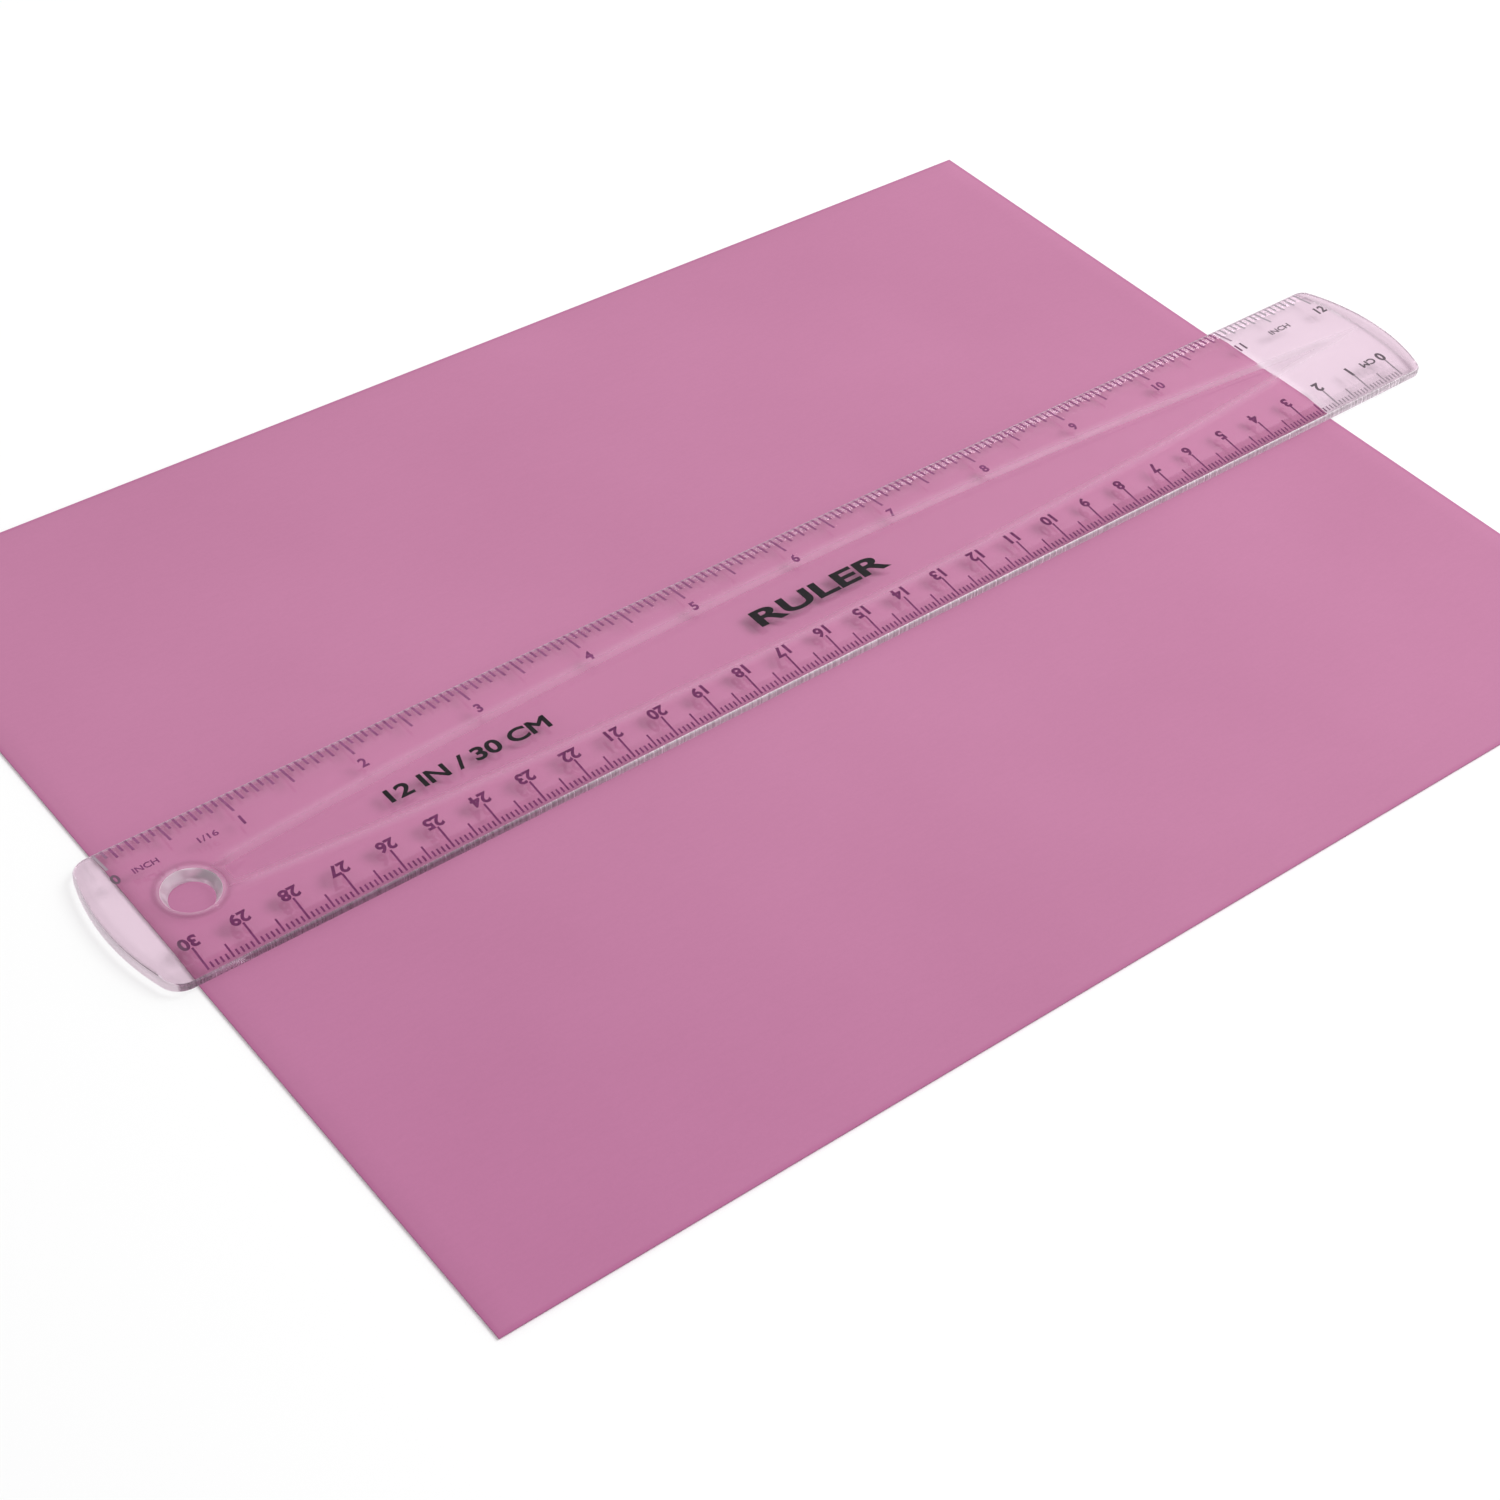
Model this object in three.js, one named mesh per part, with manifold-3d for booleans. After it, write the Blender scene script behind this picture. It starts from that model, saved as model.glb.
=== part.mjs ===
// A clear moulded 12 inch / 30 cm ruler lying across a Letter-size sheet of coloured card.
//
// Millimetres, +Z up. The origin is the centre of the sheet's underside. X runs along the sheet's
// long side and Y across it. The ruler lies along X, turned a little, with its metric edge at -Y.

import * as THREE from 'three';
import { mergeVertices } from 'three/addons/utils/BufferGeometryUtils.js';
import Module from 'manifold-3d';

const wasm = await Module();
wasm.setup();

// ---- Driving dimensions ----

const SHEET_LENGTH = 279.4;      // US Letter, 11 in
const SHEET_WIDTH = 215.9;       // US Letter, 8.5 in
const SHEET_THICKNESS = 0.4;

const RULER_LENGTH = 320;        // tip to tip over the bowed ends
const RULER_WIDTH = 36.4;
const RULER_THICKNESS = 2.4;     // at the flat middle
const EDGE_THICKNESS = 1.5;      // at both long edges and both ends
const BEVEL_WIDTH = 6;           // slope along each long edge, which carries the scale

const RULER_SHIFT_X = 12.5;      // ruler's centre from the sheet's centre
const RULER_SHIFT_Y = -0.3;
const RULER_TURN_DEG = 0.45;
const RULER_GAP = 0.3;           // running clearance over the card

const HOLE_END = {               // the end with the hang hole
  bow: 52,                       // radius of the end's arc in plan
  corner: 4.5,
  roundWidth: 1.6,               // rounded-over rim
};
const PLAIN_END = {              // the end with the stepped lip
  bow: 37,
  corner: 2.8,
  lipInset: 5.1,                 // from the tip to the lip's step
  stepBow: 64,                   // radius of the step's arc in plan
  stepWidth: 1.2,
  lipThickness: 1.9,             // at the foot of the step
};

const HANG_HOLE = {
  fromTip: 16.9,                 // centre of the hole from the tip of its end
  bottomRadius: 4.1,
  topRadius: 5.3,
  dishRadius: 6.5,               // shallow dish moulded around the mouth
  dishDepth: 0.15,
};

const LENS = {                   // shallow lens-shaped panel down the middle of the top face
  centreX: -7.4,
  halfLength: 155,
  halfWidth: 8.1,
  depth: 0.35,
};

const ARC_STEPS = 28;            // facets along each bowed end
const CORNER_STEPS = 6;
const ROUND_STEPS = 48;          // facets round the hang hole
const BOW_STEPS = 240;           // facets round the full circle of a bowed cutter
const OVERSHOOT = 1;             // how far a cutter runs past the face it cuts

// ---- Closed meshes and solids ----

/** Turns a closed three.js geometry into a solid that can be joined and cut. */
function toSolid(geometry) {
  const bare = geometry.index ? geometry.toNonIndexed() : geometry.clone();
  bare.deleteAttribute('normal');
  bare.deleteAttribute('uv');
  const merged = mergeVertices(bare, 1e-4);
  return new wasm.Manifold(new wasm.Mesh({
    numProp: 3,
    vertProperties: new Float32Array(merged.attributes.position.array),
    triVerts: new Uint32Array(merged.index.array),
  }));
}

/** Turns a solid back into a flat-shaded geometry. */
function toGeometry(solid) {
  const mesh = solid.getMesh();
  const geometry = new THREE.BufferGeometry();
  const position = new THREE.BufferAttribute(new Float32Array(mesh.vertProperties), 3);
  geometry.setAttribute('position', position);
  geometry.setIndex(new THREE.BufferAttribute(new Uint32Array(mesh.triVerts), 1));
  geometry.computeVertexNormals();
  return geometry;
}

/** A box from its lowest to its highest corner. */
function block(low, high) {
  const size = high.map((value, axis) => value - low[axis]);
  const geometry = new THREE.BoxGeometry(...size);
  geometry.translate(...high.map((value, axis) => (value + low[axis]) / 2));
  return toSolid(geometry);
}

/** A plan outline in XY raised from z = bottom to z = top. */
function prism(shape, bottom, top, curveSegments = CORNER_STEPS) {
  const geometry = new THREE.ExtrudeGeometry(shape, {
    depth: top - bottom,
    bevelEnabled: false,
    curveSegments,
  });
  geometry.translate(0, 0, bottom);
  return toSolid(geometry);
}

/** A closed [radius, height] profile turned about the vertical line through x. */
function turned(profile, x, steps) {
  const points = profile.map(([radius, height]) => new THREE.Vector2(radius, height));
  const geometry = new THREE.LatheGeometry(points, steps);
  geometry.rotateX(Math.PI / 2);
  geometry.translate(x, 0, 0);
  return toSolid(geometry);
}

// ---- The ruler, about its own centre, underside at z = 0 ----

const HALF_LENGTH = RULER_LENGTH / 2;
const HALF_WIDTH = RULER_WIDTH / 2;

/** Points round one bowed end, from the +Y edge to the -Y edge; side is +1 at +X and -1 at -X. */
function endPoints({ bow, corner }, side) {
  const bowX = HALF_LENGTH - bow;
  const cornerY = HALF_WIDTH - corner;
  const cornerX = bowX + Math.sqrt((bow - corner) ** 2 - cornerY ** 2);
  const bowAngle = Math.atan2(cornerY, cornerX - bowX);
  const points = [];
  const arc = (x, y, radius, from, to, steps) => {
    for (let i = 0; i <= steps; i += 1) {
      const angle = from + ((to - from) * i) / steps;
      points.push([x + radius * Math.cos(angle), y + radius * Math.sin(angle)]);
    }
  };
  arc(cornerX, cornerY, corner, Math.PI / 2, bowAngle, CORNER_STEPS);
  points.pop();
  arc(bowX, 0, bow, bowAngle, -bowAngle, ARC_STEPS);
  points.pop();
  arc(cornerX, -cornerY, corner, -bowAngle, -Math.PI / 2, CORNER_STEPS);
  return points.map(([x, y]) => new THREE.Vector2(side * x, y));
}

/** The straight bar with its two bevelled long edges, cut to the plan outline. */
function bevelledBlank() {
  const shoulder = HALF_WIDTH - BEVEL_WIDTH;
  const section = new THREE.Shape([
    new THREE.Vector2(-HALF_WIDTH, 0),
    new THREE.Vector2(HALF_WIDTH, 0),
    new THREE.Vector2(HALF_WIDTH, EDGE_THICKNESS),
    new THREE.Vector2(shoulder, RULER_THICKNESS),
    new THREE.Vector2(-shoulder, RULER_THICKNESS),
    new THREE.Vector2(-HALF_WIDTH, EDGE_THICKNESS),
  ]);
  const bar = new THREE.ExtrudeGeometry(section, {
    depth: RULER_LENGTH + 2 * OVERSHOOT,
    bevelEnabled: false,
  });
  bar.translate(0, 0, -HALF_LENGTH - OVERSHOOT);
  bar.rotateX(Math.PI / 2);
  bar.rotateZ(Math.PI / 2);
  const plain = endPoints(PLAIN_END, 1);
  const holed = endPoints(HOLE_END, -1).reverse();
  const outline = new THREE.Shape([...plain, ...holed]);
  return toSolid(bar).intersect(prism(outline, -OVERSHOOT, RULER_THICKNESS + OVERSHOOT));
}

/** What is taken off the rim of the end with the hole, down to the edge thickness. */
function holeEndRounding() {
  const { bow, roundWidth } = HOLE_END;
  const fall = (RULER_THICKNESS - EDGE_THICKNESS) / roundWidth;
  const top = RULER_THICKNESS + OVERSHOOT;
  const ring = turned([
    [bow - roundWidth - OVERSHOOT, RULER_THICKNESS + fall * OVERSHOOT],
    [bow + OVERSHOOT, EDGE_THICKNESS - fall * OVERSHOOT],
    [bow + OVERSHOOT, top],
    [bow - roundWidth - OVERSHOOT, top],
    [bow - roundWidth - OVERSHOOT, RULER_THICKNESS + fall * OVERSHOOT],
  ], bow - HALF_LENGTH, BOW_STEPS);
  const reach = 3 * HOLE_END.corner;
  return ring.intersect(block(
    [-HALF_LENGTH - OVERSHOOT, -HALF_WIDTH - OVERSHOOT, 0],
    [-HALF_LENGTH + reach, HALF_WIDTH + OVERSHOOT, top],
  ));
}

/** What is taken off the top of the other end, to leave the step and the lip beyond it. */
function plainEndStep() {
  const { lipInset, stepBow, stepWidth, lipThickness } = PLAIN_END;
  const top = RULER_THICKNESS + OVERSHOOT;
  const edge = stepBow + lipInset + OVERSHOOT;
  const ring = turned([
    [stepBow, RULER_THICKNESS],
    [stepBow + stepWidth, lipThickness],
    [edge, EDGE_THICKNESS],
    [edge, top],
    [stepBow, top],
    [stepBow, RULER_THICKNESS],
  ], HALF_LENGTH - lipInset - stepBow, BOW_STEPS);
  return ring.intersect(block(
    [HALF_LENGTH - 3 * lipInset, -HALF_WIDTH - OVERSHOOT, 0],
    [HALF_LENGTH + OVERSHOOT, HALF_WIDTH + OVERSHOOT, top],
  ));
}

/** The tapered hang hole with the shallow dish round its mouth. */
function hangHole() {
  const { fromTip, bottomRadius, topRadius, dishRadius, dishDepth } = HANG_HOLE;
  const mouth = RULER_THICKNESS - dishDepth;
  const taper = (topRadius - bottomRadius) / mouth;
  return turned([
    [0, -OVERSHOOT],
    [bottomRadius - taper * OVERSHOOT, -OVERSHOOT],
    [topRadius, mouth],
    [dishRadius, RULER_THICKNESS],
    [dishRadius, RULER_THICKNESS + OVERSHOOT],
    [0, RULER_THICKNESS + OVERSHOOT],
  ], fromTip - HALF_LENGTH, ROUND_STEPS);
}

/** The lens-shaped panel between two long arcs, stopped short round the hang hole's dish. */
function lensPanel() {
  const { centreX, halfLength, halfWidth, depth } = LENS;
  const radius = (halfLength ** 2 + halfWidth ** 2) / (2 * halfWidth);
  const spread = Math.asin(halfLength / radius);
  const side = (sign) => Array.from({ length: ARC_STEPS }, (_, i) => {
    const angle = spread * (1 - (2 * i) / ARC_STEPS);
    const x = centreX + sign * radius * Math.sin(angle);
    const y = sign * (radius * Math.cos(angle) - (radius - halfWidth));
    return new THREE.Vector2(x, y);
  });
  const outline = new THREE.Shape([...side(1), ...side(-1)]);
  const floor = RULER_THICKNESS - depth;
  const top = RULER_THICKNESS + OVERSHOOT;
  const holeX = HANG_HOLE.fromTip - HALF_LENGTH;
  const collar = new THREE.Shape();
  collar.absarc(holeX, 0, HANG_HOLE.dishRadius + 0.5, 0, 2 * Math.PI);
  const beyondHole = block([holeX, -HALF_WIDTH, 0], [HALF_LENGTH, HALF_WIDTH, top]);
  return prism(outline, floor, top)
    .intersect(beyondHole)
    .subtract(prism(collar, 0, top + OVERSHOOT, ROUND_STEPS));
}

function rulerGeometry() {
  const solid = bevelledBlank()
    .subtract(holeEndRounding())
    .subtract(plainEndStep())
    .subtract(hangHole())
    .subtract(lensPanel());
  return toGeometry(solid);
}

// ---- Assembly ----

const assembly = new THREE.Group();

const sheet = new THREE.Mesh(
  new THREE.BoxGeometry(SHEET_LENGTH, SHEET_WIDTH, SHEET_THICKNESS),
  new THREE.MeshStandardMaterial({ color: 0xc780a8, roughness: 0.75, metalness: 0 }),
);
sheet.name = 'card_sheet';
sheet.position.z = SHEET_THICKNESS / 2;
assembly.add(sheet);

const rulerPlace = new THREE.Group();
rulerPlace.position.set(RULER_SHIFT_X, RULER_SHIFT_Y, SHEET_THICKNESS + RULER_GAP);
rulerPlace.rotation.z = THREE.MathUtils.degToRad(RULER_TURN_DEG);

const ruler = new THREE.Mesh(
  rulerGeometry(),
  new THREE.MeshStandardMaterial({
    color: 0xe8d6e2,
    roughness: 0.15,
    metalness: 0,
    transparent: true,
    opacity: 0.35,
  }),
);
ruler.name = 'ruler';
rulerPlace.add(ruler);
assembly.add(rulerPlace);

export default assembly;
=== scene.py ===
import math

import bmesh
import bpy
from mathutils import Matrix, Vector
from mathutils.geometry import delaunay_2d_cdt


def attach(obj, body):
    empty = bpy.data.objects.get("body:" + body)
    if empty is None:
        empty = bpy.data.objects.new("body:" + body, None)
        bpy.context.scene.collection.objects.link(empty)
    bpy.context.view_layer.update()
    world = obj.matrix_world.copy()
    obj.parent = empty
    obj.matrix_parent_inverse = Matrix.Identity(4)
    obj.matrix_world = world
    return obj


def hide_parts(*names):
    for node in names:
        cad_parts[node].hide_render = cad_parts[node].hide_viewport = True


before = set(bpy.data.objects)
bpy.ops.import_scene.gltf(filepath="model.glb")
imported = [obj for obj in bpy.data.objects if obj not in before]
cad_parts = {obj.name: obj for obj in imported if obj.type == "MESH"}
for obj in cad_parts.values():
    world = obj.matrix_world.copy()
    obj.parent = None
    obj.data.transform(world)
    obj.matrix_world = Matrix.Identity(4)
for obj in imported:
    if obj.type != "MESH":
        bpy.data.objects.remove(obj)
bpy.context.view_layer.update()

# A clear 12 inch / 30 cm ruler lying on a Letter-size sheet of mauve-pink card.
# Sizes are in millimetres until the meshes are made, and the frame is in metres.
# On the ruler, u runs along its length and v across it, from its centre.

MM = 0.001
INCH = 25.4
SCENE = bpy.context.scene

# ---- Sizes shared with the CAD model ----

SHEET_LENGTH = 279.4
SHEET_WIDTH = 215.9
SHEET_THICKNESS = 0.4

RULER_LENGTH = 320.0
RULER_WIDTH = 36.4
RULER_THICKNESS = 2.4
EDGE_THICKNESS = 1.5
BEVEL_WIDTH = 6.0
RULER_SHIFT = (12.5, -0.3)
RULER_TURN_DEG = 0.45
RULER_GAP = 0.3

HALF_LENGTH = RULER_LENGTH / 2
HALF_WIDTH = RULER_WIDTH / 2

HOLE_BOW = 52.0              # the hole end's arc in plan, as a radius
HOLE_CORNER = 4.5
HOLE_ROUND_WIDTH = 1.6       # width of the rounded rim of the hole end

PLAIN_BOW = 37.0             # the plain end's arc in plan, as a radius
PLAIN_CORNER = 2.8
LIP_INSET = 5.1              # from the plain end's tip back to the step
STEP_BOW = 64.0              # the step's arc in plan, as a radius
STEP_WIDTH = 1.2
LIP_THICKNESS = 1.9

HOLE_U = 16.9 - HALF_LENGTH
HOLE_BOTTOM_RADIUS = 4.1
HOLE_TOP_RADIUS = 5.3
DISH_RADIUS = 6.5
DISH_DEPTH = 0.15

LENS_U = -7.4
LENS_HALF_LENGTH = 155.0
LENS_HALF_WIDTH = 8.1
LENS_DEPTH = 0.35
LENS_COLLAR = DISH_RADIUS + 0.5     # the panel stops short of the dish

# ---- Moulded detail that is finer than the CAD model ----

RIM_RADIUS = 0.4             # rounding along the top edge of the side wall
FOOT_RADIUS = 0.15           # rounding along the bottom edge
CREST_BLEND = 0.45           # half width of the blend between bevel and flat top
LENS_WALL = 2.4              # width of the lens panel's sloping wall
END_BLEND = 0.12             # rounding of the crease at the step

# ---- Camera ----

CAMERA_PLACE = Vector((-0.28533, -0.32450, 0.36645))     # metres
CAMERA_HEADING_DEG = 40.927     # from +Y towards +X
CAMERA_DOWN_DEG = 42.933
CAMERA_ROLL_DEG = 3.951
CAMERA_LENS_MM = 69.47
CAMERA_SENSOR_MM = 36.0
CAMERA_NEAR = 0.01              # metres
CAMERA_FAR = 20.0


def make_camera():
    heading = math.radians(CAMERA_HEADING_DEG)
    down = math.radians(CAMERA_DOWN_DEG)
    roll = math.radians(CAMERA_ROLL_DEG)
    level_reach = math.cos(down)
    ahead = Vector((
        math.sin(heading) * level_reach,
        math.cos(heading) * level_reach,
        -math.sin(down),
    ))
    level = Vector((math.cos(heading), -math.sin(heading), 0.0))
    above = level.cross(ahead)
    right = level * math.cos(roll) + above * math.sin(roll)
    up = right.cross(ahead)
    data = bpy.data.cameras.new("camera")
    data.lens = CAMERA_LENS_MM
    data.sensor_width = CAMERA_SENSOR_MM
    data.clip_start = CAMERA_NEAR
    data.clip_end = CAMERA_FAR
    camera = bpy.data.objects.new("camera", data)
    turn = Matrix((right, up, -ahead)).transposed().to_4x4()
    camera.matrix_world = Matrix.Translation(CAMERA_PLACE) @ turn
    SCENE.collection.objects.link(camera)
    SCENE.camera = camera


# ---- Mesh helpers ----

class Shell:
    """Vertices and faces gathered in millimetres, then made into one object."""

    def __init__(self):
        self.points = []
        self.faces = []

    def add_points(self, points):
        first = len(self.points)
        self.points.extend(points)
        return list(range(first, len(self.points)))

    def bridge(self, upper, lower):
        """A closed band of quads between two loops that run the same way round."""
        count = len(upper)
        for i in range(count):
            j = (i + 1) % count
            self.faces.append((upper[i], lower[i], lower[j], upper[j]))

    def make(self, name, place, smooth_deg=None):
        mesh = bpy.data.meshes.new(name)
        scaled = [(x * MM, y * MM, z * MM) for x, y, z in self.points]
        mesh.from_pydata(scaled, [], self.faces)
        mesh.validate()
        mesh.update()
        if smooth_deg is not None:
            mesh.shade_smooth()
            mesh.set_sharp_from_angle(angle=math.radians(smooth_deg))
        obj = bpy.data.objects.new(name, mesh)
        obj.matrix_world = place
        SCENE.collection.objects.link(obj)
        return obj


def clamp01(value):
    return max(0.0, min(1.0, value))


def smooth01(value):
    t = clamp01(value)
    return t * t * (3 - 2 * t)


def smooth_min(a, b, width):
    """The lower of two heights, with the crease between them rounded."""
    overlap = max(width - abs(a - b), 0.0) / width
    return min(a, b) - overlap * overlap * width / 4


# ---- Shape of the ruler's top ----

HOLE_BOW_U = HOLE_BOW - HALF_LENGTH
PLAIN_BOW_U = HALF_LENGTH - PLAIN_BOW
STEP_U = HALF_LENGTH - LIP_INSET - STEP_BOW
LENS_RADIUS = (LENS_HALF_LENGTH ** 2 + LENS_HALF_WIDTH ** 2) / (2 * LENS_HALF_WIDTH)
LENS_ARC_V = LENS_RADIUS - LENS_HALF_WIDTH


def lens_inside(u, v):
    """How far a point is inside the lens-shaped panel, negative outside."""
    upper = LENS_RADIUS - math.hypot(u - LENS_U, v + LENS_ARC_V)
    lower = LENS_RADIUS - math.hypot(u - LENS_U, v - LENS_ARC_V)
    collar = math.hypot(u - HOLE_U, v) - LENS_COLLAR
    if u < HOLE_U:
        collar = -LENS_WALL
    return min(upper, lower, collar)


def top_height(u, v):
    """Height of the ruler's top above its underside, without the rounding of its rim."""
    rise = RULER_THICKNESS - EDGE_THICKNESS
    from_edge = HALF_WIDTH - abs(v)
    slope = rise / BEVEL_WIDTH
    past_crest = from_edge - BEVEL_WIDTH
    if past_crest <= -CREST_BLEND:
        height = EDGE_THICKNESS + slope * from_edge
    elif past_crest >= CREST_BLEND:
        height = RULER_THICKNESS
    else:
        short = CREST_BLEND - past_crest
        height = RULER_THICKNESS - slope * short * short / (4 * CREST_BLEND)
    if u < HOLE_BOW_U:
        inside = HOLE_BOW - math.hypot(u - HOLE_BOW_U, v)
        share = clamp01(inside / HOLE_ROUND_WIDTH)
        rounded = EDGE_THICKNESS + rise * math.sqrt(1 - (1 - share) ** 2)
        if share < 1:
            height = min(height, rounded)
    elif u > STEP_U:
        past_step = math.hypot(u - STEP_U, v) - STEP_BOW
        if past_step > STEP_WIDTH:
            run = LIP_INSET - STEP_WIDTH
            fall = LIP_THICKNESS - EDGE_THICKNESS
            lip = LIP_THICKNESS - fall * (past_step - STEP_WIDTH) / run
            lip = max(lip, EDGE_THICKNESS)
        else:
            drop = RULER_THICKNESS - LIP_THICKNESS
            lip = RULER_THICKNESS - drop * smooth01(past_step / STEP_WIDTH)
        if past_step > 0:
            height = smooth_min(height, lip, END_BLEND)
    height -= LENS_DEPTH * smooth01(lens_inside(u, v) / LENS_WALL + 0.5)
    from_hole = math.hypot(u - HOLE_U, v)
    dish = (DISH_RADIUS - from_hole) / (DISH_RADIUS - HOLE_TOP_RADIUS)
    height -= DISH_DEPTH * smooth01(dish)
    return height


BOW_STEPS = 72
CORNER_STEPS = 10
SIDE_STEP = 2.0
HOLE_STEPS = 96


def outline(inset):
    """The ruler's plan outline moved inwards, the same number of points for every inset."""
    points = []

    def arc(u, v, radius, start, end, steps):
        for i in range(steps):
            angle = start + (end - start) * i / steps
            points.append((u + radius * math.cos(angle), v + radius * math.sin(angle)))

    def side_points(start, end):
        steps = round(abs(end[0] - start[0]) / SIDE_STEP)
        for i in range(steps):
            share = i / steps
            points.append((start[0] + (end[0] - start[0]) * share, start[1]))

    corners = {}
    for side, bow, corner in ((1, PLAIN_BOW, PLAIN_CORNER), (-1, HOLE_BOW, HOLE_CORNER)):
        corner_v = HALF_WIDTH - corner
        reach = math.sqrt((bow - corner) ** 2 - corner_v ** 2)
        angle = math.atan2(corner_v, reach)
        corners[side] = (side * (HALF_LENGTH - bow + reach), corner_v, angle)
    edge_v = HALF_WIDTH - inset
    right_u, right_v, right_angle = corners[1]
    left_u, left_v, left_angle = corners[-1]
    half = math.pi / 2
    plain_corner = PLAIN_CORNER - inset
    hole_corner = HOLE_CORNER - inset
    side_points((left_u, -edge_v), (right_u, -edge_v))
    arc(right_u, -right_v, plain_corner, -half, -right_angle, CORNER_STEPS)
    arc(PLAIN_BOW_U, 0, PLAIN_BOW - inset, -right_angle, right_angle, BOW_STEPS)
    arc(right_u, right_v, plain_corner, right_angle, half, CORNER_STEPS)
    side_points((right_u, edge_v), (left_u, edge_v))
    arc(left_u, left_v, hole_corner, half, math.pi - left_angle, CORNER_STEPS)
    arc(HOLE_BOW_U, 0, HOLE_BOW - inset, math.pi - left_angle, math.pi + left_angle, BOW_STEPS)
    arc(left_u, -left_v, hole_corner, math.pi + left_angle, 3 * half, CORNER_STEPS)
    return points


def circle(u, v, radius):
    turn = 2 * math.pi / HOLE_STEPS
    angles = [turn * i for i in range(HOLE_STEPS)]
    return [(u + radius * math.cos(angle), v + radius * math.sin(angle)) for angle in angles]


def inside_outline(u, v, margin):
    """True if a point is at least margin inside the plan outline."""
    if abs(v) > HALF_WIDTH - margin:
        return False
    bow_u, bow_radius, corner = PLAIN_BOW_U, PLAIN_BOW, PLAIN_CORNER
    if u < 0:
        bow_u, bow_radius, corner = HOLE_BOW_U, HOLE_BOW, HOLE_CORNER
    if math.hypot(u - bow_u, v) > bow_radius - margin and (u - bow_u) * u > 0:
        return False
    corner_v = HALF_WIDTH - corner
    reach = math.sqrt((bow_radius - corner) ** 2 - corner_v ** 2)
    corner_u = bow_u + math.copysign(reach, u)
    beyond_u = (u - corner_u) * math.copysign(1, u)
    beyond_v = abs(v) - corner_v
    if beyond_u > 0 and beyond_v > 0:
        return math.hypot(beyond_u, beyond_v) < corner - margin
    return True


WELD_DISTANCE = 1e-5         # points of one triangulation closer than this become one
HOLE_TRIM = 0.9995           # drops the triangles that fill a hole, and keeps those round it


def triangulate(border, holes, chains, loose):
    """Triangles over the area inside a convex border and outside round holes.

    holes are (u, v, radius, points). Returns the points, the faces, and the place among those
    points of each point handed in, counted from the border's first.
    """
    points = []
    edges = []

    def closed(loop):
        first = len(points)
        points.extend(loop)
        count = len(loop)
        edges.extend((first + i, first + (i + 1) % count) for i in range(count))

    closed(border)
    for _, _, _, loop in holes:
        closed(loop)
    for chain in chains:
        first = len(points)
        points.extend(chain)
        edges.extend((first + i, first + i + 1) for i in range(len(chain) - 1))
    points.extend(loose)
    found = delaunay_2d_cdt([Vector(p) for p in points], edges, [], 0, WELD_DISTANCE)
    out_points, _, out_faces, sources = found[:4]
    place_of = {}
    for new, olds in enumerate(sources):
        for old in olds:
            place_of[old] = new
    kept = []
    for face in out_faces:
        cu = sum(out_points[i][0] for i in face) / len(face)
        cv = sum(out_points[i][1] for i in face) / len(face)
        if all(math.hypot(cu - u, cv - v) > radius * HOLE_TRIM for u, v, radius, _ in holes):
            kept.append(tuple(face))
    return [tuple(p) for p in out_points], kept, place_of


def span(start, end, step):
    """Even steps from start to end, both ends included."""
    count = max(1, round(abs(end - start) / step))
    return [start + (end - start) * i / count for i in range(count + 1)]


def runs_inside(points, margin):
    """Splits a chain into the stretches that lie inside the outline."""
    runs = []
    current = []
    for u, v in points:
        if inside_outline(u, v, margin):
            current.append((u, v))
        elif current:
            runs.append(current)
            current = []
    if current:
        runs.append(current)
    return [run for run in runs if len(run) > 1]


MOUTH_RADIUS = 5.5           # where the dish turns over into the hole
LOWEST_TOP = 1.55            # no part of the top inside the rim is lower than this

# The moulding's finish and its painted light: frosting that stands in for highlights and other light
# seen in the plastic, painted shade, softness that roughens, and streaks. Strengths run from 0 to 1,
# places and widths are in millimetres.
FROST_HIGHLIGHT_LINE = 0.07            # the light line along each side of the lens panel
FROST_OFFSET = 1.1           # how far outside the panel's edge it runs
FROST_WIDTH = 0.8
WALL_SOFTNESS = 1.3          # half width of the roughened strip along the panel's wall
PANEL_SHADE = 0.05
END_PANEL_SHADE = 0.22       # added to it past the card, where the panel looks deeper
PANEL_END_U = 122.0
PANEL_END_BLEND = 10.0
RING_SHADE = 0.45            # round the dish
RING_WIDTH = 0.6
MOUTH_FROST_HIGHLIGHT = 0.15           # round the hole's mouth
MOUTH_FROST_AT = 0.45
MOUTH_FROST_WIDTH = 0.28
STEP_SHADE = 1.0
STEP_SHADE_AT = 0.35
STEP_SHADE_WIDTH = 0.9
TIP_SHADE = 0.28             # along the rims of both ends
TIP_WIDTH = 1.1
HOLE_BAND = 2.7              # width of the shaded band along the rim of the hole end
HOLE_BAND_BLEND = 1.2
FAR_SOFT_V = 16.6            # the far rim is roughened from here outwards
FAR_SOFT_BLEND = 0.5
WALL_FROST_PAINTED_LIGHT = 0.58            # the near wall
WALL_PAINTED_SHADE_FROM_U = -45.0          # beyond here towards the hole the near wall is darker
WALL_PAINTED_SHADE_BLEND = 60.0
FAR_FROST_PAINTED_LIGHT = 0.45
FAR_SHADE = 0.3
BOW_FROST_PAINTED_LIGHT = 0.7              # the wall of the hole end
BOW_SHADE = 0.12
BOW_SOFT = 0.5
BOW_REACH = 1.0              # how far in from the arc that wall is taken to run
HOLE_FROST_PAINTED_LIGHT = 0.45            # the wall of the hole
HOLE_SHADE = 0.22
HOLE_SOFT = 0.6
HOLE_STREAK = 0.3

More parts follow.
